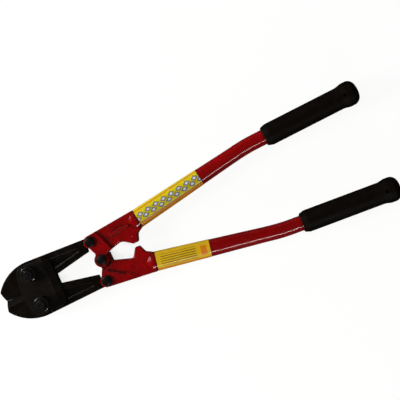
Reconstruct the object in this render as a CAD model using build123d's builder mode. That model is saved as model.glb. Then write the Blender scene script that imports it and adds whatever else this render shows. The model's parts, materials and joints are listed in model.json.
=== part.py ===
"""Bolt cutters of the 450 mm class, lying flat with the jaws closed.

Two forged jaws turn on bolts between two side plates. Each jaw tail is hinged to a handle head by a
toggle bolt, and the two heads are hinged to each other by the centre bolt. Steel tubes with rubber
grips carry the heads. Sizes are in millimetres. Positions in plan are measured from the centre bolt,
+X towards the grips and +Y towards the upper handle. Z is up, from the surface that the tool lies on.
"""

import os
from math import asin, atan2, cos, degrees, radians, sin, sqrt

from build123d import *

# Linkage: bolt centres in plan, for the upper half
jaw_bolt_x = -80.0
jaw_bolt_y = 18.3
toggle_x = -4.2
toggle_y = 23.7

# Fits
pin_clearance = 0.05  # radial, between a bolt and its hole
side_play = 0.1  # between flat faces that slide on each other
seat_gap = 0.03  # around pieces that are pushed or glued onto a tube
swing_gap = 0.6  # between curved faces that swing past each other
centre_hole_slack = 2.3  # extra radius of the lower head's centre hole

# Jaws
jaw_thickness = 11.0
nose_reach = 119.5  # from the centre bolt to the nose tips
nose_radius = 3.0
nose_height = 11.0  # of the nose rounding's centre above the cut line
notch_depth = 2.5  # of the cutting edges behind the nose tips
jaw_crown = 14.1  # outer edge beyond the jaw bolt's centre
edge_gap = 0.03  # from the cut line to each cutting edge
edge_land = 1.2  # thickness left at the cutting edge
bevel_width = 7.0
bevel_end = 12.0  # where the bevel stops, in front of the jaw bolt
heel_offset = 1.0  # where the heel starts to open, in front of the jaw bolt
jaw_chamfer = 1.2
tail_outer = (-4.3, 5.6)  # tail corners, from the toggle bolt
tail_inner = (-6.3, -9.6)
tail_eye_radius = 7.0
tail_tongue = 8.0  # thickness of the tail's eye
recess_rim = 6.0
recess_end = 15.0  # from the recess to the toggle bolt
recess_start = 14.0  # from the recess to the jaw bolt
recess_depth = 1.0
recess_wall = 1.6  # run of its sloping walls, in plan
recess_round = 4.0

# Side plates
plate_thickness = 4.5
plate_front = 17.0  # front edge on the tool's axis, in front of the jaw bolts
plate_corner = 12.0  # front corners, in front of the jaw bolts
plate_back = 26.5  # back edge, behind the jaw bolts
plate_end = 11.2  # beyond the jaw bolts, across the tool
plate_round = 9.0
plate_chamfer = 0.8
lip_length = 8.0  # bevel along the back edge
lip_thickness = 1.4

# Jaw bolts and nuts
jaw_bolt_d = 10.0
jaw_hex = 16.0  # across flats
jaw_head_height = 4.3
jaw_washer_d = 17.5
jaw_washer_height = 2.0
washer_split = 1.2
washer_split_angle = 15.0  # degrees, of the split from the washer's radius
jaw_nut_height = 7.0
jaw_stud = 2.4  # thread end beyond the nut
thread_pitch = 1.5
thread_depth = 0.6

# Toggle and centre bolts
link_bolt_d = 7.0
link_head_d = 11.4
link_head_edge = 2.0
link_head_dome = 1.2
link_hex = 11.0
link_nut_height = 4.0
link_stud = 0.8

# Handle heads
fork_radius = 7.2  # around the toggle bolt
knuckle_radius = 8.2  # around the centre bolt
head_body = 12.4  # thickness behind the fork
head_fork = 17.0  # thickness over the cheeks
head_width = 22.4  # where the tube starts
# Inner edges: the stop's three corners, then the arch's two, from the centre bolt
upper_inner = [(49.6, 11.2), (46.2, 2.35), (40.2, 2.0), (28.5, 10.2), (13.5, 6.4)]
lower_inner = [(48.6, 11.2), (45.2, 2.6), (39.6, 2.2), (33.0, 12.8), (13.5, 6.4)]
upper_inner_rounds = [4.0, 1.8, 1.8, 9.0, 5.0]
lower_inner_rounds = [4.0, 1.8, 1.8, 4.0, 5.0]
knuckle_fillet = 3.0
fork_fillet = 3.0  # between the fork's round and its front edge
fork_front_angle = 242.0  # where the fork's front edge leaves the cheek's round
head_fillet = 1.5
cheek_chamfer = 0.8
upper_crease = [(2.0, 24.0), (14.4, 0.0), (20.4, -15.4), (31.6, -44.0)]  # from the toggle bolt
lower_crease = [(-26.0, -13.0), (6.3, -11.2), (35.0, 8.0), (37.0, 36.0)]
lower_ramp = (14.0, 38.0)  # where the lower cheeks start and end running out, from the toggle bolt
crease_run = 3.0  # of the slope from the cheeks down to the body
cheek_reach = 26.0  # beyond the toggle bolt, past every edge of the cheeks
tongue_back = 11.6  # square back of the lower head's tongue
tongue_top = 4.4
tongue_bottom = 6.0
rib_length = 24.0
rib_width = 3.2
rib_height = 1.0
rib_angle = 5.0
rib_centre = (31.5, 22.6)
collar_step_wide = 0.4  # of the collar beyond the tube, in plan
collar_step_thick = 0.55  # of the collar beyond the tube, in height
collar_length = 4.0
collar_slope = 5.5
collar_root = 0.74  # size of the collar's front end, as a share of its back end
neck_length = 9.0  # where the flat body starts to round off towards the tube
neck_width = 34.0
neck_thickness = 21.0
tang_length = 35.0

# Handle tubes
tube_front = (54.0, 26.1)
tube_splay = 10.0  # degrees from the tool's axis, front run
grip_splay = 3.25  # degrees, run under the grip
taper_length = 125.0  # from the flattened front end to the round pipe
straight_run = 22.2  # round pipe from the taper to the bend
bend_to_grip = 23.7
bend_radius = 200.0
tube_width = 22.0  # flattened front end
tube_thickness = 15.5
pipe_d = 17.5
tube_wall = 2.0

# Grips
grip_length = 117.0
grip_wall = 4.0
lip_wall = 2.05  # at the grip's front end
lip_taper = 6.0
lip_round = 1.0
lip_blend = 8.0
knob_rise = 1.65  # of the end knob beyond the grip
knob_length = 14.0
knob_slope = 7.0
knob_blend = 12.0
knob_round = 6.0
dome_radius = 9.0
solid_end = 24.0  # rubber beyond the tube's end
hang_hole_d = 3.6
hang_hole_inset = 17.0

# Labels
label_thickness = 0.2
label_start = 1.5  # from the tube's front end
upper_label_length = 83.0
lower_label_length = 62.0


def heading(angle):
    """Unit vector in plan at an angle in degrees from +X."""
    return Vector(cos(radians(angle)), sin(radians(angle)))


def touch_point(centre, radius, start, turn):
    """Where a line from start touches a circle, on its left (turn 1) or its right (turn -1)."""
    to_centre = Vector(*centre) - Vector(*start)
    lean = degrees(asin(radius / to_centre.length))
    angle = degrees(atan2(to_centre.Y, to_centre.X)) + turn * lean
    return Vector(*start) + heading(angle) * sqrt(to_centre.length**2 - radius**2)


def height_on(start, end, x):
    """Y of the line from start to end at x."""
    return start[1] + (end[1] - start[1]) * (x - start[0]) / (end[0] - start[0])


def flip(points, side):
    """Plan points for the upper side (1) or, mirrored, the lower side (-1)."""
    return [(x, side * y) for x, y in points]


# Handle line, and the extents that place the origin under the middle of the tool
front_dir = heading(tube_splay)
grip_dir = heading(grip_splay)
bend_point = Vector(*tube_front) + front_dir * (taper_length + straight_run)
grip_start = bend_point + grip_dir * bend_to_grip
grip_tip = grip_start + grip_dir * grip_length
tube_end = grip_tip - grip_dir * solid_end
grip_d = pipe_d + 2 * grip_wall
knob_d = grip_d + 2 * knob_rise
dome_flat = knob_d / 2 - dome_radius
grip_reach = grip_tip.X + dome_radius * (1 - grip_dir.X) + dome_flat * grip_dir.Y
centre_x = (nose_reach - grip_reach) / 2

# Half thicknesses of the stack, and the height of its middle plane
jaw_half = jaw_thickness / 2
plate_inner = jaw_half + side_play
plate_outer = plate_inner + plate_thickness
fork_half = head_fork / 2
slot_half = tail_tongue / 2 + side_play
link_bolt_end = fork_half + link_nut_height + link_stud
rest_height = max(knob_d / 2, plate_outer + jaw_head_height, link_bolt_end)

# Collar of a head, a little larger than the tube that butts against it
collar_width = tube_width + 2 * collar_step_wide
collar_thickness = tube_thickness + 2 * collar_step_thick


def at(x, y, z=0.0):
    """A point given from the centre bolt and the middle plane."""
    return Vector(centre_x + x, y, rest_height + z)


def across(start, direction):
    """Plane square to a direction in plan: local X across the handle, local Y up."""
    return Plane(at(start.X, start.Y), x_dir=(-direction.Y, direction.X, 0), z_dir=direction)


def front_plane(distance, side=1):
    """Plane square to a tube's front run, at a distance behind the tube's front end."""
    start = Vector(*tube_front) + front_dir * distance
    return across(Vector(start.X, side * start.Y), Vector(front_dir.X, side * front_dir.Y))


def upright(x, y):
    """Plane through a bolt's axis: local X is the radius, local Y is up."""
    return Plane(at(x, y), x_dir=(1, 0, 0), z_dir=(0, -1, 0))


def keep(part, name):
    """Label a finished piece and write it."""
    part.label = name
    export_step(part, f"parts/{name}.step")


middle = Plane(at(0, 0))
os.makedirs("parts", exist_ok=True)


# Jaws
def jaw_outline():
    """The upper jaw in plan, without the eye around its toggle bolt."""
    notch = (notch_depth - nose_reach, edge_gap)
    nose = Vector(nose_radius - nose_reach, nose_height)
    crown = Vector(jaw_bolt_x, jaw_bolt_y + jaw_crown)
    run = crown.X - nose.X
    rise = crown.Y - nose.Y
    crown_radius = (run**2 + rise**2 - nose_radius**2) / (2 * (rise - nose_radius))
    crown_centre = crown - Vector(0, crown_radius)
    join = crown_centre + (nose - crown_centre).normalized() * crown_radius
    heel = (jaw_bolt_x - heel_offset, edge_gap)
    outer = (toggle_x + tail_outer[0], toggle_y + tail_outer[1])
    inner = (toggle_x + tail_inner[0], toggle_y + tail_inner[1])
    with BuildSketch(Plane.XY) as outline:
        with BuildLine():
            lean = Line(notch, touch_point(nose, nose_radius, notch, 1))
            tip = TangentArc(lean @ 1, join, tangent=lean % 1)
            TangentArc(join, crown, tangent=tip % 1)
            Polyline(crown, outer, inner, heel, notch)
        make_face()
    return outline.sketch


def recess_outline():
    """The shallow forged recess along the upper jaw's tail, in plan."""
    crown = (jaw_bolt_x, jaw_bolt_y + jaw_crown)
    outer = (toggle_x + tail_outer[0], toggle_y + tail_outer[1])
    heel = (jaw_bolt_x - heel_offset, edge_gap)
    inner = (toggle_x + tail_inner[0], toggle_y + tail_inner[1])
    ends = (jaw_bolt_x + recess_start, toggle_x - recess_end)
    low = [(x, height_on(heel, inner, x) + recess_rim) for x in ends]
    high = [(x, height_on(crown, outer, x) - recess_rim) for x in reversed(ends)]
    corner_round = min(recess_round, 0.45 * (high[0][1] - low[1][1]))
    with BuildSketch(Plane.XY) as outline:
        with BuildLine():
            FilletPolyline(*low, *high, radius=corner_round, close=True)
        make_face()
    return outline.sketch


jaw_plan = jaw_outline()
recess_plan = recess_outline()

with BuildPart() as upper_jaw:
    with BuildSketch(middle):
        add(jaw_plan)
    extrude(amount=jaw_half, both=True)
    for face in (upper_jaw.faces().sort_by(Axis.Z)[-1], upper_jaw.faces().sort_by(Axis.Z)[0]):
        chamfer(face.edges(), jaw_chamfer)
    shoulder_radius = fork_radius + swing_gap
    recess_taper = degrees(atan2(recess_wall, recess_depth))
    blade_plane = Plane(at(-2 * nose_reach, 0), x_dir=(0, 1, 0), z_dir=(1, 0, 0))
    for side in (1, -1):
        # The tail thins to a tongue that fits the head's fork
        with BuildSketch(middle.offset(side * tail_tongue / 2)):
            with Locations((toggle_x, toggle_y)):
                Circle(shoulder_radius)
        extrude(amount=side * jaw_thickness, mode=Mode.SUBTRACT)
        with BuildSketch(middle):
            with Locations((toggle_x, toggle_y)):
                Circle(tail_eye_radius)
        extrude(amount=side * tail_tongue / 2)
        with BuildSketch(middle.offset(side * jaw_half)):
            add(recess_plan)
        extrude(amount=-side * recess_depth, taper=recess_taper, mode=Mode.SUBTRACT)
        # The cutting edge is ground from both faces
        bevel_top = edge_gap + bevel_width
        with BuildSketch(blade_plane):
            with BuildLine():
                Polyline(
                    (-bevel_width, side * edge_land / 2),
                    (edge_gap, side * edge_land / 2),
                    (bevel_top, side * jaw_half),
                    (bevel_top, side * jaw_thickness),
                    (-bevel_width, side * jaw_thickness),
                    close=True,
                )
            make_face()
        extrude(amount=2 * nose_reach + jaw_bolt_x - bevel_end, mode=Mode.SUBTRACT)
    with BuildSketch(middle):
        with Locations((jaw_bolt_x, jaw_bolt_y)):
            Circle(jaw_bolt_d / 2 + pin_clearance)
        with Locations((toggle_x, toggle_y)):
            Circle(link_bolt_d / 2 + pin_clearance)
    extrude(amount=jaw_thickness, both=True, mode=Mode.SUBTRACT)
keep(upper_jaw.part, "upper_jaw")

with BuildPart() as lower_jaw:
    mirror(upper_jaw.part, about=Plane.XZ)
keep(lower_jaw.part, "lower_jaw")


# Side plates, in front of and behind the jaws
def side_plate(name, side):
    """One side plate, on the upper face of the jaws (side 1) or the lower face (side -1)."""
    corner_x = jaw_bolt_x - plate_corner
    back_x = jaw_bolt_x + plate_back
    top_y = jaw_bolt_y + plate_end
    lip_level = side * (plate_inner + lip_thickness)
    with BuildPart() as plate:
        with BuildSketch(middle.offset(side * plate_inner)):
            with BuildLine():
                Polyline((corner_x, top_y), (back_x, top_y), (back_x, -top_y), (corner_x, -top_y))
                ThreePointArc((corner_x, -top_y), (jaw_bolt_x - plate_front, 0), (corner_x, top_y))
            outline = make_face()
            fillet(outline.vertices(), plate_round)
            with Locations((jaw_bolt_x, jaw_bolt_y), (jaw_bolt_x, -jaw_bolt_y)):
                Circle(jaw_bolt_d / 2 + pin_clearance, mode=Mode.SUBTRACT)
        extrude(amount=side * plate_thickness)
        outer_face = plate.faces().sort_by(Axis.Z)[-1 if side > 0 else 0]
        chamfer(outer_face.outer_wire().edges(), plate_chamfer)
        with BuildSketch(upright(0, 0)):
            with BuildLine():
                Polyline(
                    (back_x - lip_length, side * plate_outer),
                    (back_x, lip_level),
                    (back_x + lip_length, lip_level),
                    (back_x + lip_length, 2 * side * plate_outer),
                    (back_x - lip_length, 2 * side * plate_outer),
                    close=True,
                )
            make_face()
        extrude(amount=2 * top_y, both=True, mode=Mode.SUBTRACT)
    keep(plate.part, name)


side_plate("front_side_plate", 1)
side_plate("rear_side_plate", -1)


# Fasteners
def hex_shape(seat, across_flats, height):
    """Add a hexagon to the open part, its outer corners turned off; height points away from its seat."""
    grow = Plane(seat, x_dir=(1, 0, 0), z_dir=(0, 0, 1 if height > 0 else -1))
    with BuildSketch(grow) as hexagon:
        RegularPolygon(across_flats / 2, 6, major_radius=False)
    extrude(hexagon.sketch, amount=abs(height))
    with Locations(grow):
        Cone(
            across_flats / 2 + abs(height) * sqrt(3),
            across_flats / 2,
            abs(height),
            align=(Align.CENTER, Align.CENTER, Align.MIN),
            mode=Mode.INTERSECT,
        )


def thread_profile(radius, start, end):
    """Points of a thread's outline, as rings from start to end along the axis."""
    step = thread_pitch if end > start else -thread_pitch
    points = []
    for turn in range(int(abs(end - start) / thread_pitch)):
        crest = start + turn * step
        points += [(radius, crest), (radius - thread_depth, crest + step / 2)]
    return points + [(radius, start + len(points) / 2 * step)]


def turned(points, x, y):
    """Add a body turned around the upright axis at x, y to the open part, from half an outline."""
    with BuildSketch(upright(x, y)) as outline:
        with BuildLine():
            Polyline(*points, close=True)
        make_face()
    revolve(outline.sketch, axis=Axis(at(x, y), (0, 0, 1)))


def jaw_fasteners(name, side):
    """Bolt, washer and nut of one jaw: head behind the rear plate, nut in front of the front plate."""
    y = side * jaw_bolt_y
    radius = jaw_bolt_d / 2
    washer_top = plate_outer + jaw_washer_height
    nut_top = washer_top + jaw_nut_height
    stud_top = nut_top + jaw_stud
    with BuildPart() as bolt:
        hex_shape(at(jaw_bolt_x, y, -plate_outer), jaw_hex, -jaw_head_height)
        shank = [(0, -plate_outer), (radius, -plate_outer)]
        thread = thread_profile(radius, nut_top, stud_top - thread_depth)
        tip = [(radius - thread_depth, stud_top), (0, stud_top)]
        turned(shank + thread + tip, jaw_bolt_x, y)
    keep(bolt.part, f"{name}_jaw_bolt")
    with BuildPart() as washer:
        with BuildSketch(Plane(at(jaw_bolt_x, y, plate_outer))):
            Circle(jaw_washer_d / 2)
            Circle(radius + pin_clearance, mode=Mode.SUBTRACT)
            with Locations((0, side * jaw_washer_d / 2)):
                Rectangle(washer_split, jaw_washer_d, rotation=washer_split_angle, mode=Mode.SUBTRACT)
        extrude(amount=jaw_washer_height)
    keep(washer.part, f"{name}_jaw_washer")
    with BuildPart() as nut:
        hex_shape(at(jaw_bolt_x, y, washer_top), jaw_hex, jaw_nut_height)
        with BuildSketch(Plane(at(jaw_bolt_x, y, washer_top))):
            Circle(radius + pin_clearance)
        extrude(amount=jaw_nut_height, mode=Mode.SUBTRACT)
    keep(nut.part, f"{name}_jaw_nut")


def link_fasteners(name, x, y):
    """Round-headed bolt with its head in front of the fork, and its nut behind the fork."""
    radius = link_bolt_d / 2
    head_edge = fork_half + link_head_edge
    shank = [(0, fork_half), (radius, fork_half), (radius, -link_bolt_end), (0, -link_bolt_end)]
    with BuildPart() as bolt:
        with BuildSketch(upright(x, y)):
            with BuildLine():
                crown = (0, head_edge + link_head_dome)
                rim = (link_head_d / 2, head_edge)
                Polyline(crown, (0, fork_half), (link_head_d / 2, fork_half), rim)
                TangentArc(crown, rim, tangent=(1, 0))
            make_face()
        revolve(axis=Axis(at(x, y), (0, 0, 1)))
        turned(shank, x, y)
    keep(bolt.part, f"{name}_bolt")
    with BuildPart() as nut:
        hex_shape(at(x, y, -fork_half), link_hex, -link_nut_height)
        with BuildSketch(Plane(at(x, y, -fork_half))):
            Circle(radius + pin_clearance)
        extrude(amount=-link_nut_height, mode=Mode.SUBTRACT)
    keep(nut.part, f"{name}_nut")


jaw_fasteners("upper", 1)
jaw_fasteners("lower", -1)
link_fasteners("upper_toggle", toggle_x, toggle_y)
link_fasteners("lower_toggle", toggle_x, -toggle_y)
link_fasteners("centre", 0, 0)


# Handle heads
def tube_section(distance, growth):
    """Draw the tapered tube's outline at a distance from its front end, grown or shrunk all round."""
    share = distance / taper_length
    width = tube_width + (pipe_d - tube_width) * share
    thickness = tube_thickness + (pipe_d - tube_thickness) * share
    Ellipse(width / 2 + growth, thickness / 2 + growth)


def head_outline(side, inner_edge, inner_rounds):
    """A handle head in plan: body, stop, fork eye and centre knuckle."""
    fork = Vector(toggle_x, toggle_y)
    half_end = Vector(-front_dir.Y, front_dir.X) * head_width / 2
    end_outer = Vector(*tube_front) + half_end
    end_inner = Vector(*tube_front) - half_end
    fork_top = touch_point(fork, fork_radius, end_outer, -1)
    fork_front = fork + heading(fork_front_angle) * fork_radius
    corners = [
        (0, 0),
        (fork_front.X, fork_front.Y),
        (fork.X, fork.Y),
        (fork_top.X, fork_top.Y),
        (end_outer.X, end_outer.Y),
        (end_inner.X, end_inner.Y),
        *inner_edge,
    ]
    rounds = [0, 0, 0, 0, 0, 0, *inner_rounds]
    inner_rays = [fork_front.normalized(), Vector(*inner_edge[-1]).normalized()]
    inner_corners = [(ray.X * knuckle_radius, ray.Y * knuckle_radius) for ray in inner_rays]
    with BuildSketch(Plane.XY) as outline:
        with BuildLine():
            FilletPolyline(*flip(corners, side), radius=rounds, close=True)
        make_face()
        with Locations((toggle_x, side * toggle_y)):
            Circle(fork_radius)
        Circle(knuckle_radius)
        for corner in flip(inner_corners, side):
            fillet(outline.vertices().sort_by_distance(corner)[0], knuckle_fillet)
        fork_corner = (fork_front.X, side * fork_front.Y)
        fillet(outline.vertices().sort_by_distance(fork_corner)[0], fork_fillet)
    return outline.sketch


def neck_envelope(side):
    """The space that a head may fill: free in front, rounding off to the collar's outline at the tube."""
    head_span = 2 * (tube_front[0] + head_width)
    with BuildPart() as envelope:
        with BuildSketch(front_plane(-neck_length, side)):
            Rectangle(head_span, head_span)
        extrude(amount=-head_span)
        with BuildSketch(front_plane(-neck_length, side)):
            Ellipse(neck_width / 2, neck_thickness / 2)
        with BuildSketch(front_plane(0, side)):
            Ellipse(collar_width / 2, collar_thickness / 2)
        loft()
    return envelope.part


def cheek_block(side, crease):
    """The space of a fork's raised cheeks, which slopes down to the head's body along the crease."""
    rise = (head_fork - head_body) / 2
    reach = [(-cheek_reach, crease[-1][1]), (-cheek_reach, crease[0][1])]
    edge = [(toggle_x + x, toggle_y + y) for x, y in crease + reach]
    with BuildSketch(Plane.XY) as outline:
        with BuildLine():
            Polyline(*flip(edge, side), close=True)
        make_face()
        offset(amount=crease_run / 2, kind=Kind.INTERSECTION)
    with BuildPart() as block:
        with BuildSketch(middle):
            add(outline.sketch)
        extrude(amount=head_body / 2)
        with BuildSketch(middle.offset(head_body / 2)):
            add(outline.sketch)
        extrude(amount=rise, taper=degrees(atan2(crease_run, rise)))
        mirror(about=middle)
    return block.part


def handle_head(name, side, crease, inner_edge, inner_rounds):
    """A forged head: a fork for the jaw tail, and at the centre bolt a fork (upper) or a tongue (lower)."""
    slot_radius = tail_eye_radius + swing_gap
    knuckle_sweep = knuckle_radius + centre_hole_slack + swing_gap
    hole_radius = link_bolt_d / 2 + pin_clearance
    head_plan = head_outline(side, inner_edge, inner_rounds)
    envelope = neck_envelope(side)
    with BuildPart() as cheeks:
        with BuildSketch(middle):
            add(head_plan)
        extrude(amount=fork_half, both=True)
        if side < 0:
            # The lower cheeks run out towards the tube
            for face in (1, -1):
                with BuildSketch(upright(toggle_x, 0)):
                    with BuildLine():
                        Polyline(
                            (lower_ramp[0], face * fork_half),
                            (lower_ramp[1], face * head_body / 2),
                            (2 * lower_ramp[1], face * head_body / 2),
                            (2 * lower_ramp[1], face * head_fork),
                            (lower_ramp[0], face * head_fork),
                            close=True,
                        )
                    make_face()
                extrude(amount=2 * toggle_y + 2 * cheek_reach, both=True, mode=Mode.SUBTRACT)
        rims = cheeks.edges().filter_by(Axis.Z, reverse=True).filter_by(Axis.Y, reverse=True)
        chamfer(rims, cheek_chamfer)
        add(cheek_block(side, crease), mode=Mode.INTERSECT)
    with BuildPart() as head:
        with BuildSketch(middle):
            add(head_plan)
        extrude(amount=head_body / 2, both=True)
        fillet(head.faces().sort_by(Axis.Z)[-1].edges(), head_fillet)
        fillet(head.faces().sort_by(Axis.Z)[0].edges(), head_fillet)
        add(cheeks.part)
        if side > 0:
            for face in (1, -1):
                with BuildSketch(middle.offset(face * head_body / 2)):
                    with Locations(rib_centre):
                        SlotOverall(rib_length, rib_width, rotation=rib_angle)
                extrude(amount=face * rib_height)
        add(envelope, mode=Mode.INTERSECT)
        # Collar that the tube butts against, and the tang inside the tube
        for distance, size in ((-collar_length - collar_slope, collar_root), (-collar_length, 1.0)):
            with BuildSketch(front_plane(distance, side)):
                Ellipse(size * collar_width / 2, size * collar_thickness / 2)
        loft()
        with BuildSketch(front_plane(-collar_length, side)):
            Ellipse(collar_width / 2, collar_thickness / 2)
        extrude(amount=collar_length)
        for distance in (0, tang_length):
            with BuildSketch(front_plane(distance, side)):
                tube_section(distance, -tube_wall - seat_gap)
        loft()
        # Slot for the jaw tail
        with BuildSketch(middle):
            with Locations((toggle_x, side * toggle_y)):
                Circle(slot_radius)
            if side > 0:
                Circle(knuckle_sweep)
        extrude(amount=slot_half, both=True, mode=Mode.SUBTRACT)
        if side < 0:
            tongue_half = tail_tongue / 2
            for face in (1, -1):
                with BuildSketch(middle.offset(face * tongue_half)):
                    Circle(knuckle_sweep)
                extrude(amount=face * head_fork, mode=Mode.SUBTRACT)
            with BuildSketch(middle):
                with Locations((0, tongue_top)):
                    Rectangle(tongue_back, tongue_top + tongue_bottom, align=(Align.MIN, Align.MAX))
            extrude(amount=tongue_half, both=True)
        centre_radius = hole_radius if side > 0 else hole_radius + centre_hole_slack
        with BuildSketch(middle):
            with Locations((toggle_x, side * toggle_y)):
                Circle(hole_radius)
            Circle(centre_radius)
        extrude(amount=head_fork, both=True, mode=Mode.SUBTRACT)
    keep(head.part, name)


handle_head("upper_handle_head", 1, upper_crease, upper_inner, upper_inner_rounds)
handle_head("lower_handle_head", -1, lower_crease, lower_inner, lower_inner_rounds)


# Handle tubes
with BuildLine() as rear_run:
    taper_end = Vector(*tube_front) + front_dir * taper_length
    run_points = [at(point.X, point.Y) for point in (taper_end, bend_point, tube_end)]
    FilletPolyline(*run_points, radius=bend_radius)

with BuildPart() as upper_tube:
    for growth, mode in ((0, Mode.ADD), (-tube_wall, Mode.SUBTRACT)):
        for distance in (0, taper_length):
            with BuildSketch(front_plane(distance)):
                tube_section(distance, growth)
        loft(mode=mode)
        with BuildSketch(front_plane(taper_length)):
            Circle(pipe_d / 2 + growth)
        sweep(path=rear_run.line, mode=mode)
keep(upper_tube.part, "upper_handle_tube")

with BuildPart() as lower_tube:
    mirror(upper_tube.part, about=Plane.XZ)
keep(lower_tube.part, "lower_handle_tube")


# Grips
with BuildPart() as upper_grip:
    knob_start = grip_length - knob_length
    grip_rounds = [lip_round, lip_blend, knob_blend, knob_round, dome_radius]
    grip_profile = [
        (0, 0),
        (0, pipe_d / 2 + lip_wall),
        (lip_taper, grip_d / 2),
        (knob_start - knob_slope, grip_d / 2),
        (knob_start, knob_d / 2),
        (grip_length, knob_d / 2),
        (grip_length, 0),
    ]
    grip_axis = Vector(grip_dir.X, grip_dir.Y, 0)
    with BuildSketch(Plane(at(grip_start.X, grip_start.Y), x_dir=grip_axis, z_dir=(0, 0, 1))):
        with BuildLine():
            outer = FilletPolyline(*grip_profile, radius=grip_rounds)
            Line(outer @ 1, outer @ 0)
        make_face()
    revolve(axis=Axis(at(grip_start.X, grip_start.Y), grip_axis))
    with BuildSketch(across(grip_start, grip_dir)):
        Circle(pipe_d / 2 + seat_gap)
    extrude(amount=grip_length - solid_end, mode=Mode.SUBTRACT)
    hang_hole = grip_tip - grip_dir * hang_hole_inset
    with BuildSketch(Plane(at(hang_hole.X, hang_hole.Y))):
        Circle(hang_hole_d / 2)
    extrude(amount=knob_d, both=True, mode=Mode.SUBTRACT)
keep(upper_grip.part, "upper_grip")

with BuildPart() as lower_grip:
    mirror(upper_grip.part, about=Plane.XZ)
keep(lower_grip.part, "lower_grip")


# Labels, wrapped around the tubes behind the heads
def label(name, side, length):
    """A thin sleeve on the tapered tube."""
    with BuildPart() as sleeve:
        for growth, mode in ((seat_gap + label_thickness, Mode.ADD), (seat_gap, Mode.SUBTRACT)):
            for distance in (label_start, label_start + length):
                with BuildSketch(front_plane(distance, side)):
                    tube_section(distance, growth)
            loft(mode=mode)
    keep(sleeve.part, name)


label("upper_label", 1, upper_label_length)
label("lower_label", -1, lower_label_length)
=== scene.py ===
"""Looks of the bolt cutters: red painted heads and tubes, blackened steel, rubber grips, printed labels.

Lengths are in metres and angles in degrees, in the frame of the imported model: +X towards the grips,
+Y towards the upper handle, +Z up from the surface that the tool lies on.
"""

import json
from math import cos, radians, sin

import bpy
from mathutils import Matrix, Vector


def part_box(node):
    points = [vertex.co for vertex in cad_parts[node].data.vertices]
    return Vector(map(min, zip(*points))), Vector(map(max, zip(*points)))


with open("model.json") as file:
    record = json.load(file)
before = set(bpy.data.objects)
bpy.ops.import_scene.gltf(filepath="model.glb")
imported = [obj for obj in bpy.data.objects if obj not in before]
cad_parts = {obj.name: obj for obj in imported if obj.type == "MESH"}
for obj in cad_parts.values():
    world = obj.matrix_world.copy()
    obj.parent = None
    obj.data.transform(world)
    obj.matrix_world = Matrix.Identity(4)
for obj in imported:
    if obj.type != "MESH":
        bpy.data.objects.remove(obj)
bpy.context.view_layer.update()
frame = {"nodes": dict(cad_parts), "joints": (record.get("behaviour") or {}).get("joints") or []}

# View of the photograph, 400 pixels square
PHOTO_SIDE = 400
PIXEL = 0.001128  # metres on the tool's middle plane
VIEW_AZIMUTH = -23.8
VIEW_ELEVATION = 90.0
VIEW_DISTANCE = 1.0
SENSOR_WIDTH = 36.0  # millimetres, as the camera counts it
CENTRE_BOLT_PIXEL = (102.4, 259.5)

# Places taken from the frame, and the handle's line as it was built
LOW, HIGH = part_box("centre_bolt")
CENTRE_BOLT = (LOW + HIGH) / 2
HINGES = {joint["name"]: Vector(joint["pos_m"]) for joint in frame["joints"]}
MIDDLE_HEIGHT = HINGES["upper_jaw_hinge"].z
TUBE_FRONT = (0.054, 0.0261)  # from the centre bolt
TUBE_SPLAY = 10.0
LABEL_START = 0.0015  # behind the tube's front end
LABEL_LENGTHS = {"upper": 0.083, "lower": 0.062}
BLADE_STOP = 0.012  # the ground blade faces end this far in front of the jaw bolts
BLADE_HALF = 0.007  # and this far from the line of the cut
BLADE_SOFT = 0.0002

# Painted shade along the heads' creases: a line in plan from the centre bolt, reach, strength
CREASE_SHADES = [
    ((0.0125, 0.0230), (0.0168, 0.0095), 0.0045, 0.5),
    ((0.0170, 0.0198), (0.0210, 0.0208), 0.0028, 0.6),
    ((0.0009, -0.0131), (0.0176, -0.0234), 0.0034, 1.0),
]

# Colours, linear
WHITE = (1.0, 1.0, 1.0, 1.0)
PAINT_RED = (0.235, 0.0009, 0.0014, 1.0)
PAINT_DEEP = (0.085, 0.0004, 0.0007, 1.0)
# painted shade laid into the paint's corners and creases
PAINT_SHADE = (0.016, 0.0025, 0.002, 1.0)
PAINT_WORN = (0.33, 0.11, 0.10, 1.0)
BARE_STEEL = (0.46, 0.40, 0.38, 1.0)
OXIDE_JAW = (0.0024, 0.0016, 0.001, 1.0)
OXIDE_PLATE = (0.0048, 0.0035, 0.0024, 1.0)
OXIDE_BOLT = (0.0034, 0.0029, 0.0027, 1.0)
OXIDE_BROWN = (0.006, 0.004, 0.0026, 1.0)
OXIDE_WORN = (0.055, 0.05, 0.046, 1.0)
RUBBER = (0.0032, 0.0021, 0.0013, 1.0)
RUBBER_DUST = (0.0058, 0.0042, 0.003, 1.0)
FILM_YELLOW = (0.54, 0.45, 0.004, 1.0)
FILM_AMBER = (0.58, 0.36, 0.006, 1.0)
FILM_ORANGE = (0.56, 0.16, 0.006, 1.0)
FILM_GREY = (0.20, 0.195, 0.23, 1.0)
FILM_PALE = (0.62, 0.62, 0.66, 1.0)
FILM_BROWN = (0.05, 0.028, 0.01, 1.0)
FLOOR_PALE = (0.93, 0.93, 0.925, 1.0)

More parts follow.
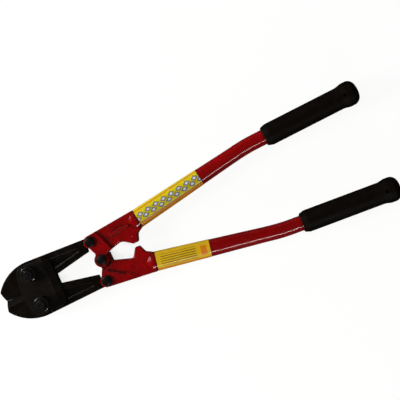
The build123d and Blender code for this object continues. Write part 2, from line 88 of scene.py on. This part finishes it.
# Red paint on the forged heads and on the drawn tubes
PAINT_ON_FORGING = {
    "dents": 150.0,
    "cloudy": 0.75,
    "blotchy": 0.7,
    "shade_reach": 0.007,
    "chips": 0.5,
    "specks": 0.55,
    "coat_roughness": 0.1,
    "relief": 0.6,
    "depth": 0.0003,
}
PAINT_ON_TUBE = {
    "dents": 70.0,
    "cloudy": 0.45,
    "blotchy": 0.25,
    "shade_reach": 0.003,
    "chips": 0.42,
    "specks": 0.2,
    "coat_roughness": 0.03,
    "relief": 0.07,
    "depth": 0.000012,
}
PAINT_GRAIN = 1300.0  # repeats per metre, as every other scale
PAINT_BLOTCHES = 260.0
PAINT_SPECKS = 620.0
# breakup of the painted shade along the creases
CREASE_SHADE_PATCHES = 330.0
PAINT_CHIPS = {"Reach": 0.0007, "Breakup": 420.0}
PAINT_SCUFFS = {"Density": 1100.0, "Amount": 0.35}
PAINT_ROUGHNESS = (0.20, 0.32)
PAINT_COAT = 0.7
PAINT_SPECULAR = 0.08
PAINT_EDGE = 0.0008  # radius, as every other edge

# Blackened steels: roughness, specular level and amount of edge wear
JAW_STEEL = (0.30, 0.10, 0.30)
PLATE_STEEL = (0.30, 0.20, 0.40)
NUT_STEEL = (0.20, 0.55, 0.52)
BOLT_STEEL = (0.30, 0.14, 0.45)

# Skins of the steels: scale of the dents, strength of the relief and its depth
SKIN_FORGED = (240.0, 0.55, 0.0003)
SKIN_MACHINED = (420.0, 0.3, 0.00008)
STEEL_GRAIN = 2200.0
STEEL_WEAR = {"Reach": 0.0006, "Breakup": 800.0}
STEEL_SCRATCHES = {"Density": 1600.0, "Amount": 0.45}
STEEL_EDGE = 0.0005
GROUND_ROUGHER = 0.35  # roughness that grinding adds
GROUND_FLATTER = 0.45  # strength of the relief that grinding takes away

# Rubber and label film: each relief is a strength and a depth
RUBBER_PEBBLES = 1100.0
RUBBER_CLOUDS = 90.0
RUBBER_ROUGHNESS = (0.5, 0.66)
RUBBER_SPECULAR = 0.05
RUBBER_RELIEF = (0.4, 0.00012)
RUBBER_EDGE = 0.0005
FILM_STAINS = 120.0
FILM_SCUFFS = {"Density": 1200.0, "Amount": 0.5}
FILM_ROUGHNESS = 0.35
FILM_SPECULAR = 0.15
FILM_COAT = 0.1
FILM_COAT_ROUGHNESS = 0.1
FILM_RIPPLES = 300.0
FILM_RELIEF = (0.04, 0.00002)
FILM_EDGE = 0.0001

# Prints on the labels: repeats along or around a label, and rows of lozenges by shift and place
LOZENGE_COLUMNS = 8.0
LOZENGE_ROWS = ((0.0, 0.09), (0.5, -0.07))
LOZENGE_SLIMNESS = 3.6
TICKS = 30.0
PINSTRIPES = 10.0

# Shared effects: limits between which they fade, shares and samples
EDGE_TURN = (0.985, 0.86)  # cosine between the rounded and the flat normal
EDGE_WORN = (0.98, 1.16)
EDGE_SAMPLES = 6
CORNER_SKY = (0.985, 0.82)  # share of open sky in a corner
CORNER_SAMPLES = 8
GRAIN_HEIGHT = 0.22  # of the fine scale against the dents
SHADE_SCALE = 0.4  # of the shade against the dents
SCRATCH_RUNS = ((0.25, 0.02), (-0.5, 0.03), (1.9, 0.04))  # turn in radians, and stretch
SCRATCH_LINES = (0.70, 0.78)
SCRATCH_PATCHES = 45.0

# Floor, room and camera
FLOOR_SIDE = 8.0
FLOOR_ROUGHNESS = 0.9
FLOOR_GLOW = 1.09
FLOOR_EVEN = 0.92  # share of the floor's look that no shadow changes
# the floor's glow fades where the sky is covered, a painted shadow
SKY_REACH = 0.05
SKY_COVERED = (0.08, 0.17)  # shares of open sky between which the floor starts to glow
SKY_COVERED_BY_BLADES = (0.30, 0.48)  # the same in front of the jaw bolts
BLADE_SHADE_RUN = 0.01  # length over which the first limits turn into the second
SKY_SAMPLES = 16
ROOM_LIGHT = 0.02
ROOM_SEEN = 0.9
CLIP_END = 20.0


# Small helpers for node trees
def feed(tree, socket, value):
    """Link an input to another node's output, or set it to a plain value."""
    if isinstance(value, bpy.types.NodeSocket):
        tree.links.new(value, socket)
    else:
        socket.default_value = value


def node(tree, kind, inputs=None, output=0, **settings):
    """Add a shader node, feed its inputs and return one of its outputs."""
    made = tree.nodes.new("ShaderNode" + kind)
    for key, value in settings.items():
        setattr(made, key, value)
    for key, value in (inputs or {}).items():
        feed(tree, made.inputs[key], value)
    return made.outputs[output]


def maths(tree, operation, first, second=0.0):
    """One step of arithmetic."""
    return node(tree, "Math", {0: first, 1: second}, operation=operation)


def fade(tree, value, start, end, low=0.0, high=1.0):
    """Ease from low to high as a value goes from start to end."""
    inputs = {"Value": value, "From Min": start, "From Max": end, "To Min": low, "To Max": high}
    return node(tree, "MapRange", inputs, interpolation_type="SMOOTHSTEP")


def noise(tree, place, scale, detail=2.0, roughness=0.5):
    """Cloudy noise with a scale in repeats per metre."""
    inputs = {"Vector": place, "Scale": scale, "Detail": detail, "Roughness": roughness}
    return node(tree, "TexNoise", inputs)


def over(tree, mask, below, above):
    """Lay one colour over another where the mask is one."""
    return node(tree, "Mix", {0: mask, 6: below, 7: above}, 2, data_type="RGBA")


def place_of(tree):
    """Where a point of the piece is, in the model's frame."""
    return node(tree, "TexCoord", output="Object")


def parts_of(tree, vector):
    """The X, Y and Z of a vector."""
    made = tree.nodes.new("ShaderNodeSeparateXYZ")
    feed(tree, made.inputs[0], vector)
    return made.outputs


def times(tree, first, second):
    """Multiply two values."""
    return maths(tree, "MULTIPLY", first, second)


def effect(name, inputs, outputs):
    """Start a node group: its tree, its inputs by name and the sockets of its outputs."""
    tree = bpy.data.node_groups.new(name, "ShaderNodeTree")
    for label, value in inputs.items():
        socket = tree.interface.new_socket(label, in_out="INPUT", socket_type="NodeSocketFloat")
        socket.default_value = value
    for label in outputs:
        tree.interface.new_socket(label, in_out="OUTPUT", socket_type="NodeSocketFloat")
    start = tree.nodes.new("NodeGroupInput")
    end = tree.nodes.new("NodeGroupOutput")
    return tree, start.outputs, end.inputs


def use(tree, group, inputs):
    """Place an effect in a material with its own values, and return its outputs."""
    made = tree.nodes.new("ShaderNodeGroup")
    made.node_tree = group
    for key, value in inputs.items():
        feed(tree, made.inputs[key], value)
    return made.outputs


# Effects that several finishes share
def edge_wear_effect():
    """Mask of the worn stretches along a piece's sharp edges."""
    tree, given, out = effect("edge_wear", {"Reach": 0.0008, "Breakup": 900.0, "Amount": 0.5}, ["Mask"])
    rounded = node(tree, "Bevel", {"Radius": given["Reach"]}, samples=EDGE_SAMPLES)
    flat = node(tree, "NewGeometry", output="Normal")
    facing = node(tree, "VectorMath", {0: rounded, 1: flat}, "Value", operation="DOT_PRODUCT")
    edge = fade(tree, facing, *EDGE_TURN)
    patchy = noise(tree, place_of(tree), given["Breakup"], 4.0, 0.65)
    kept = maths(tree, "ADD", patchy, given["Amount"])
    worn = fade(tree, kept, *EDGE_WORN)
    feed(tree, out["Mask"], times(tree, edge, worn))
    return tree


def corner_shade_effect():
    """Mask of painted shade in a piece's inner corners, where ambient occlusion finds little open sky,
    broken into patches.
    """
    tree, given, out = effect("corner_shade", {"Reach": 0.004, "Breakup": 260.0}, ["Mask"])
    inputs = {"Distance": given["Reach"]}
    open_sky = node(tree, "AmbientOcclusion", inputs, "AO", samples=CORNER_SAMPLES)
    corner = fade(tree, open_sky, *CORNER_SKY)
    patchy = fade(tree, noise(tree, place_of(tree), given["Breakup"], 3.0), 0.25, 0.7, 0.45, 1.0)
    feed(tree, out["Mask"], times(tree, corner, patchy))
    return tree


def forged_effect():
    """Height and shade of a forged skin: broad dents, with a fine scale on them."""
    tree, given, out = effect("forged_skin", {"Dents": 160.0, "Grain": 1500.0}, ["Height", "Shade"])
    place = place_of(tree)
    dents = noise(tree, place, given["Dents"], 2.0, 0.5)
    grain = noise(tree, place, given["Grain"], 3.0, 0.6)
    feed(tree, out["Height"], maths(tree, "ADD", dents, times(tree, grain, GRAIN_HEIGHT)))
    broad = times(tree, given["Dents"], SHADE_SCALE)
    feed(tree, out["Shade"], noise(tree, place, broad, 4.0, 0.6))
    return tree


def scratch_effect():
    """Mask of fine scratches that run roughly along the tool, and some across it."""
    tree, given, out = effect("scratches", {"Density": 1400.0, "Amount": 0.5}, ["Mask"])
    place = place_of(tree)
    masks = []
    for turn, stretch in SCRATCH_RUNS:
        inputs = {"Vector": place, "Rotation": (0.0, 0.0, turn), "Scale": (stretch, 1.0, 1.0)}
        lines = noise(tree, node(tree, "Mapping", inputs), given["Density"], 1.0)
        masks.append(fade(tree, lines, *SCRATCH_LINES))
    all_lines = maths(tree, "MAXIMUM", maths(tree, "MAXIMUM", masks[0], masks[1]), masks[2])
    patch = fade(tree, noise(tree, place, SCRATCH_PATCHES, 2.0), 0.40, 0.68)
    feed(tree, out["Mask"], times(tree, times(tree, all_lines, patch), given["Amount"]))
    return tree


EDGE_WEAR = edge_wear_effect()
# painted shade for the inner corners
CORNER_SHADE = corner_shade_effect()
FORGED = forged_effect()
SCRATCHES = scratch_effect()


# Finishes
def finish_of(name):
    """A new material, its tree and its shader."""
    material = bpy.data.materials.new(name)
    material.use_nodes = True
    tree = material.node_tree
    return material, tree, tree.nodes["Principled BSDF"]


def bump(tree, shader, height, strength, depth, edge_round):
    """Give the shader a rounded edge and a surface relief of some depth."""
    rounded = node(tree, "Bevel", {"Radius": edge_round}, samples=EDGE_SAMPLES)
    inputs = {"Height": height, "Strength": strength, "Distance": depth, "Normal": rounded}
    feed(tree, shader.inputs["Normal"], node(tree, "Bump", inputs))


def away_from(tree, start, end):
    """How far a point is, in plan, from a line between two places, given from the centre bolt."""
    run = Vector((end[0] - start[0], end[1] - start[1], 0.0))
    first = Vector((CENTRE_BOLT.x + start[0], CENTRE_BOLT.y + start[1], 0.0))
    plan = node(tree, "VectorMath", {0: place_of(tree), 1: (1.0, 1.0, 0.0)}, operation="MULTIPLY")
    offset = node(tree, "VectorMath", {0: plan, 1: first}, operation="SUBTRACT")
    inputs = {0: offset, 1: run / run.length_squared}
    along = node(tree, "VectorMath", inputs, "Value", operation="DOT_PRODUCT")
    share = node(tree, "Clamp", {"Value": along})
    nearest = node(tree, "VectorMath", {0: run, "Scale": share}, operation="SCALE")
    return node(tree, "VectorMath", {0: offset, 1: nearest}, "Value", operation="DISTANCE")


def red_paint(name, look, crease_shades=()):
    """Gloss red paint, with painted shade in its corners and along its creases, and chips along its
    edges.
    """
    material, tree, shader = finish_of(name)
    place = place_of(tree)
    skin = use(tree, FORGED, {"Dents": look["dents"], "Grain": PAINT_GRAIN})
    cloudy = times(tree, fade(tree, skin["Shade"], 0.3, 0.75), look["cloudy"])
    blotchy = fade(tree, noise(tree, place, PAINT_BLOTCHES, 3.0, 0.6), 0.42, 0.75)
    blotchy = times(tree, blotchy, look["blotchy"])
    colour = over(tree, maths(tree, "MAXIMUM", cloudy, blotchy), PAINT_RED, PAINT_DEEP)
    # painted shade in the inner corners, from ambient occlusion
    painted_shade = use(tree, CORNER_SHADE, {"Reach": look["shade_reach"]})["Mask"]
    if crease_shades:
        painted_shade = times(tree, painted_shade, 0.8)
        patchy = fade(tree, noise(tree, place, CREASE_SHADE_PATCHES, 3.0), 0.3, 0.62, 0.4, 1.0)
    # painted shade along each crease line, broken into patches
    for start, end, reach, strength in crease_shades:
        crease_shade = fade(tree, away_from(tree, start, end), reach, 0.0, 0.0, strength)
        painted_shade = maths(tree, "MAXIMUM", painted_shade, times(tree, crease_shade, patchy))
    # the painted shade darkens the paint
    colour = over(tree, times(tree, painted_shade, 0.9), colour, PAINT_SHADE)
    chips = use(tree, EDGE_WEAR, PAINT_CHIPS | {"Amount": look["chips"]})["Mask"]
    specks = fade(tree, noise(tree, place, PAINT_SPECKS, 2.0, 0.5), 0.745, 0.77)
    specks = times(tree, specks, look["specks"])
    colour = over(tree, chips, colour, PAINT_WORN)
    colour = over(tree, specks, colour, BARE_STEEL)
    feed(tree, shader.inputs["Base Color"], colour)
    scuffs = use(tree, SCRATCHES, PAINT_SCUFFS)["Mask"]
    # chips, specks and the painted shade all roughen the paint and take away its coat
    worn_and_shaded = maths(tree, "MAXIMUM", painted_shade, maths(tree, "MAXIMUM", chips, specks))
    rough = fade(tree, skin["Shade"], 0.2, 0.8, *PAINT_ROUGHNESS)
    rough = maths(tree, "ADD", rough, times(tree, scuffs, 0.5))
    rough = maths(tree, "ADD", rough, times(tree, worn_and_shaded, 0.3))
    feed(tree, shader.inputs["Roughness"], rough)
    coat = maths(tree, "SUBTRACT", PAINT_COAT, times(tree, worn_and_shaded, PAINT_COAT))
    feed(tree, shader.inputs["Coat Weight"], coat)
    shader.inputs["Coat Roughness"].default_value = look["coat_roughness"]
    shader.inputs["Specular IOR Level"].default_value = PAINT_SPECULAR
    bump(tree, shader, skin["Height"], look["relief"], look["depth"], PAINT_EDGE)
    return material


def blade_mask(tree):
    """Mask of the ground faces along the two cutting edges."""
    parts = parts_of(tree, place_of(tree))
    stop = HINGES["upper_jaw_hinge"].x - BLADE_STOP
    away = maths(tree, "ABSOLUTE", parts["Y"])
    low = fade(tree, away, BLADE_HALF + BLADE_SOFT, BLADE_HALF - BLADE_SOFT)
    return times(tree, low, fade(tree, parts["X"], stop + BLADE_SOFT, stop - BLADE_SOFT))


def black_oxide(name, colour_of, grade, forged=False):
    """Blackened steel: rough where it is forged, finer where it is machined."""
    material, tree, shader = finish_of(name)
    roughness, specular, wear = grade
    dents, relief, depth = SKIN_FORGED if forged else SKIN_MACHINED
    skin = use(tree, FORGED, {"Dents": dents, "Grain": STEEL_GRAIN})
    stain = times(tree, fade(tree, skin["Shade"], 0.42, 0.74), 0.6)
    colour = over(tree, stain, colour_of, OXIDE_BROWN)
    bare = use(tree, EDGE_WEAR, STEEL_WEAR | {"Amount": wear})["Mask"]
    rough = fade(tree, skin["Shade"], 0.25, 0.8, roughness, roughness + 0.16)
    if forged:
        ground = blade_mask(tree)
        bare = times(tree, bare, maths(tree, "SUBTRACT", 1.0, ground))
        rough = maths(tree, "ADD", rough, times(tree, ground, GROUND_ROUGHER))
        relief = maths(tree, "SUBTRACT", relief, times(tree, ground, GROUND_FLATTER))
    scratches = use(tree, SCRATCHES, STEEL_SCRATCHES)["Mask"]
    colour = over(tree, maths(tree, "MAXIMUM", bare, scratches), colour, OXIDE_WORN)
    feed(tree, shader.inputs["Base Color"], colour)
    feed(tree, shader.inputs["Metallic"], times(tree, bare, 0.8))
    rough = maths(tree, "SUBTRACT", rough, times(tree, bare, 0.12))
    feed(tree, shader.inputs["Roughness"], rough)
    shader.inputs["Specular IOR Level"].default_value = specular
    bump(tree, shader, skin["Height"], relief, depth, STEEL_EDGE)
    return material


def rubber(name):
    """Moulded black rubber with a fine leathery grain and dust in it."""
    material, tree, shader = finish_of(name)
    place = place_of(tree)
    pebble = node(tree, "TexVoronoi", {"Vector": place, "Scale": RUBBER_PEBBLES}, "Distance")
    cloud = noise(tree, place, RUBBER_CLOUDS, 4.0, 0.6)
    dusty = fade(tree, cloud, 0.45, 0.8, 0.0, 0.6)
    colour = over(tree, dusty, RUBBER, RUBBER_DUST)
    feed(tree, shader.inputs["Base Color"], colour)
    feed(tree, shader.inputs["Roughness"], fade(tree, cloud, 0.3, 0.75, *RUBBER_ROUGHNESS))
    shader.inputs["Specular IOR Level"].default_value = RUBBER_SPECULAR
    relief = maths(tree, "ADD", times(tree, pebble, 0.6), times(tree, cloud, 0.5))
    bump(tree, shader, relief, *RUBBER_RELIEF, RUBBER_EDGE)
    return material


def label_place(tree, side):
    """Along the label from 0 to 1, and around the tube: 0 on top, half a turn is 1."""
    turn = radians(TUBE_SPLAY) * side
    along = Vector((cos(turn), sin(turn), 0.0))
    start = CENTRE_BOLT + Vector((TUBE_FRONT[0], side * TUBE_FRONT[1], 0.0)) + along * LABEL_START
    length = LABEL_LENGTHS["upper" if side > 0 else "lower"]
    inputs = {
        "Vector": place_of(tree),
        "Location": (start.x, start.y, MIDDLE_HEIGHT),
        "Rotation": (0.0, 0.0, turn),
        "Scale": (length, 1.0, 1.0),
    }
    local = node(tree, "Mapping", inputs, vector_type="TEXTURE")
    parts = parts_of(tree, local)
    angle = maths(tree, "ARCTAN2", parts["Y"], parts["Z"])
    return parts["X"], maths(tree, "DIVIDE", angle, radians(180.0)), local


def band(tree, value, centre, half, soft=0.012):
    """Mask of a stripe around a value."""
    away = maths(tree, "ABSOLUTE", maths(tree, "SUBTRACT", value, centre))
    return fade(tree, away, half + soft, half - soft)


def lozenges(tree, along, around, shift, row):
    """How far a point is from the nearest lozenge's middle, in a row along the label."""
    steps = maths(tree, "ADD", times(tree, along, LOZENGE_COLUMNS), shift)
    cell = maths(tree, "SUBTRACT", maths(tree, "FRACT", steps), 0.5)
    across = maths(tree, "ABSOLUTE", maths(tree, "SUBTRACT", around, row))
    return maths(tree, "ADD", maths(tree, "ABSOLUTE", cell), times(tree, across, LOZENGE_SLIMNESS))


def upper_print(tree, along, around):
    """Yellow field with an orange band, and two staggered rows of grey lozenges."""
    rows = [lozenges(tree, along, around, shift, row) for shift, row in LOZENGE_ROWS]
    reach = maths(tree, "MINIMUM", *rows)
    colour = over(tree, fade(tree, reach, 0.46, 0.43), FILM_YELLOW, FILM_BROWN)
    colour = over(tree, fade(tree, reach, 0.40, 0.37), colour, FILM_GREY)
    colour = over(tree, fade(tree, reach, 0.20, 0.17), colour, FILM_PALE)
    colour = over(tree, band(tree, around, -0.33, 0.10), colour, FILM_ORANGE)
    colour = over(tree, band(tree, around, -0.225, 0.010, 0.006), colour, FILM_BROWN)
    ticks = band(tree, maths(tree, "FRACT", times(tree, along, TICKS)), 0.5, 0.2, 0.06)
    ticks = times(tree, ticks, band(tree, around, -0.31, 0.025, 0.008))
    colour = over(tree, ticks, colour, FILM_AMBER)
    return over(tree, band(tree, around, 0.31, 0.03, 0.008), colour, FILM_ORANGE)


def lower_print(tree, along, around):
    """Amber field with brown pinstripes, and an orange block at the grip's end."""
    stripe = maths(tree, "FRACT", times(tree, around, PINSTRIPES))
    lines = band(tree, maths(tree, "SUBTRACT", stripe, 0.5), 0.0, 0.14, 0.05)
    lines = times(tree, lines, band(tree, around, 0.0, 0.25, 0.004))
    lines = times(tree, lines, band(tree, along, 0.41, 0.33, 0.004))
    colour = over(tree, lines, FILM_AMBER, FILM_BROWN)
    block = times(tree, band(tree, along, 0.88, 0.055, 0.004), band(tree, around, 0.0, 0.2))
    colour = over(tree, block, colour, FILM_ORANGE)
    return over(tree, band(tree, around, -0.36, 0.035, 0.008), colour, FILM_ORANGE)


def label_film(name, side):
    """Printed film with a clear gloss, aged and scuffed."""
    material, tree, shader = finish_of(name)
    along, around, local = label_place(tree, side)
    colour = upper_print(tree, along, around) if side > 0 else lower_print(tree, along, around)
    aged = fade(tree, noise(tree, place_of(tree), FILM_STAINS, 4.0, 0.6), 0.4, 0.8, 0.0, 0.22)
    colour = over(tree, aged, colour, FILM_BROWN)
    scuffs = use(tree, SCRATCHES, FILM_SCUFFS)["Mask"]
    colour = over(tree, times(tree, scuffs, 0.25), colour, FILM_PALE)
    feed(tree, shader.inputs["Base Color"], colour)
    rough = maths(tree, "ADD", FILM_ROUGHNESS, times(tree, scuffs, 0.4))
    feed(tree, shader.inputs["Roughness"], rough)
    shader.inputs["Specular IOR Level"].default_value = FILM_SPECULAR
    shader.inputs["Coat Weight"].default_value = FILM_COAT
    shader.inputs["Coat Roughness"].default_value = FILM_COAT_ROUGHNESS
    ripple = noise(tree, local, FILM_RIPPLES, 2.0)
    bump(tree, shader, ripple, *FILM_RELIEF, FILM_EDGE)
    return material


def dress(material, *names):
    """Give CAD nodes a finish."""
    for name in names:
        for slot in frame["nodes"][name].material_slots:
            slot.material = material


def both(name):
    """The upper and the lower node of a pair."""
    return [f"{half}_{name}" for half in ("upper", "lower")]


side_plates = ["front_side_plate", "rear_side_plate"]
jaw_fasteners = both("jaw_bolt") + both("jaw_washer") + both("jaw_nut")
link_fasteners = both("toggle_bolt") + both("toggle_nut") + ["centre_bolt", "centre_nut"]
dress(red_paint("red_forging", PAINT_ON_FORGING, CREASE_SHADES), *both("handle_head"))
dress(red_paint("red_tube", PAINT_ON_TUBE), *both("handle_tube"))
dress(black_oxide("jaw_steel", OXIDE_JAW, JAW_STEEL, forged=True), *both("jaw"))
dress(black_oxide("plate_steel", OXIDE_PLATE, PLATE_STEEL), *side_plates)
dress(black_oxide("nut_steel", OXIDE_BOLT, NUT_STEEL), *jaw_fasteners)
dress(black_oxide("bolt_steel", OXIDE_BOLT, BOLT_STEEL), *link_fasteners)
dress(rubber("grip_rubber"), *both("grip"))
dress(label_film("upper_label_film", 1), "upper_label")
dress(label_film("lower_label_film", -1), "lower_label")


# Stage: floor, lights and camera
def across_view():
    """The picture's rightward and upward directions on the floor."""
    turn = radians(VIEW_AZIMUTH)
    return Vector((cos(turn), sin(turn), 0.0)), Vector((-sin(turn), cos(turn), 0.0))


def floor():
    """A plain pale floor that glows to keep its shadows faint, with a painted shadow that keeps it dark
    in the slit between the blades.
    """
    bpy.ops.object.select_all(action="DESELECT")
    bpy.ops.mesh.primitive_plane_add(size=FLOOR_SIDE)
    ground = bpy.context.object
    ground.name = "floor"
    material, tree, shader = finish_of("pale_floor")
    shader.inputs["Base Color"].default_value = FLOOR_PALE
    shader.inputs["Roughness"].default_value = FLOOR_ROUGHNESS
    shader.inputs["Specular IOR Level"].default_value = 0.0
    seen = node(tree, "LightPath", output="Is Camera Ray")
    open_sky = node(tree, "AmbientOcclusion", {"Distance": SKY_REACH}, "AO", samples=SKY_SAMPLES)
    hinge = HINGES["upper_jaw_hinge"].x
    by_blades = fade(tree, parts_of(tree, place_of(tree))["X"], hinge, hinge - BLADE_SHADE_RUN)
    ends = zip(SKY_COVERED, SKY_COVERED_BY_BLADES)
    covered, clear = [fade(tree, by_blades, 0.0, 1.0, usual, by_blade) for usual, by_blade in ends]
    # the glow fades where ambient occlusion finds the sky covered: a painted shadow, darkest in the slit
    # between the blades
    shadowed_glow = fade(tree, open_sky, covered, clear, 0.0, FLOOR_GLOW)
    glow = node(tree, "Emission", {"Color": FLOOR_PALE, "Strength": shadowed_glow})
    even = times(tree, seen, FLOOR_EVEN)
    mixed = node(tree, "MixShader", {0: even, 1: shader.outputs[0], 2: glow})
    feed(tree, tree.nodes["Material Output"].inputs["Surface"], mixed)
    ground.data.materials.append(material)
    ground.visible_glossy = False


def lamp(name, place, aim, size, power, glossy=True, diffuse=True):
    """A rectangular soft light that faces a point."""
    data = bpy.data.lights.new(name, "AREA")
    data.shape = "RECTANGLE"
    data.size, data.size_y = size
    data.energy = power
    light = bpy.data.objects.new(name, data)
    bpy.context.scene.collection.objects.link(light)
    light.location = place
    light.rotation_euler = (aim - place).to_track_quat("-Z", "Y").to_euler()
    light.visible_glossy = glossy
    light.visible_diffuse = diffuse


def studio():
    """Soft light from above and all round, most from the left, and lamps that only show in the gloss."""
    right, up = across_view()
    high = Vector((0.0, 0.0, 1.0))
    aim = Vector((0.0, 0.0, MIDDLE_HEIGHT))

    def hang(name, steps, size, power, aside=0.0, **shown):
        """A lamp some steps right, up the picture and above the tool, facing it or a point aside."""
        place = aim + right * steps[0] + up * steps[1] + high * steps[2]
        lamp(name, place, aim + right * aside, size, power, **shown)

    hang("overhead", (0.0, 0.0, 1.8), (2.6, 2.6), 8.0, glossy=False)
    hang("key", (-1.5, -0.25, 0.7), (0.6, 0.6), 42.0, glossy=False)
    hang("near_fill", (0.2, -1.3, 0.4), (1.4, 0.5), 9.0, glossy=False)
    hang("far_fill", (0.0, 1.4, 0.3), (1.6, 0.4), 8.0, glossy=False)
    hang("strip", (0.5, -0.95, 0.8), (0.9, 0.045), 7.5, aside=0.5, diffuse=False)
    hang("left_wall", (-1.25, 0.45, 0.6), (0.8, 1.0), 7.0, diffuse=False)
    hang("glint", (-0.8, 0.35, 0.55), (0.16, 0.16), 3.5, diffuse=False)
    world = bpy.data.worlds.new("room")
    bpy.context.scene.world = world
    world.use_nodes = True
    tree = world.node_tree
    seen = node(tree, "LightPath", output="Is Camera Ray")
    strength = maths(tree, "ADD", ROOM_LIGHT, times(tree, seen, ROOM_SEEN))
    feed(tree, tree.nodes["Background"].inputs["Color"], WHITE)
    feed(tree, tree.nodes["Background"].inputs["Strength"], strength)


def camera():
    """The photograph's view: straight from above, from a metre away."""
    right, up = across_view()
    tilt = radians(VIEW_ELEVATION)
    steps = (PHOTO_SIDE / 2 - CENTRE_BOLT_PIXEL[0], CENTRE_BOLT_PIXEL[1] - PHOTO_SIDE / 2)
    middle = Vector((CENTRE_BOLT.x, CENTRE_BOLT.y, MIDDLE_HEIGHT))
    aim = middle + right * steps[0] * PIXEL + up * steps[1] * PIXEL / sin(tilt)
    back = Vector((0.0, 0.0, sin(tilt))) - up * cos(tilt)
    data = bpy.data.cameras.new("photo_camera")
    data.sensor_width = SENSOR_WIDTH
    data.lens = SENSOR_WIDTH * VIEW_DISTANCE / (PHOTO_SIDE * PIXEL)
    data.clip_end = CLIP_END
    eye = bpy.data.objects.new("photo_camera", data)
    bpy.context.scene.collection.objects.link(eye)
    eye.location = aim + back * VIEW_DISTANCE
    eye.rotation_euler = (radians(90.0 - VIEW_ELEVATION), 0.0, radians(VIEW_AZIMUTH))
    bpy.context.scene.camera = eye


floor()
studio()
camera()
bpy.context.scene.view_settings.view_transform = "Standard"
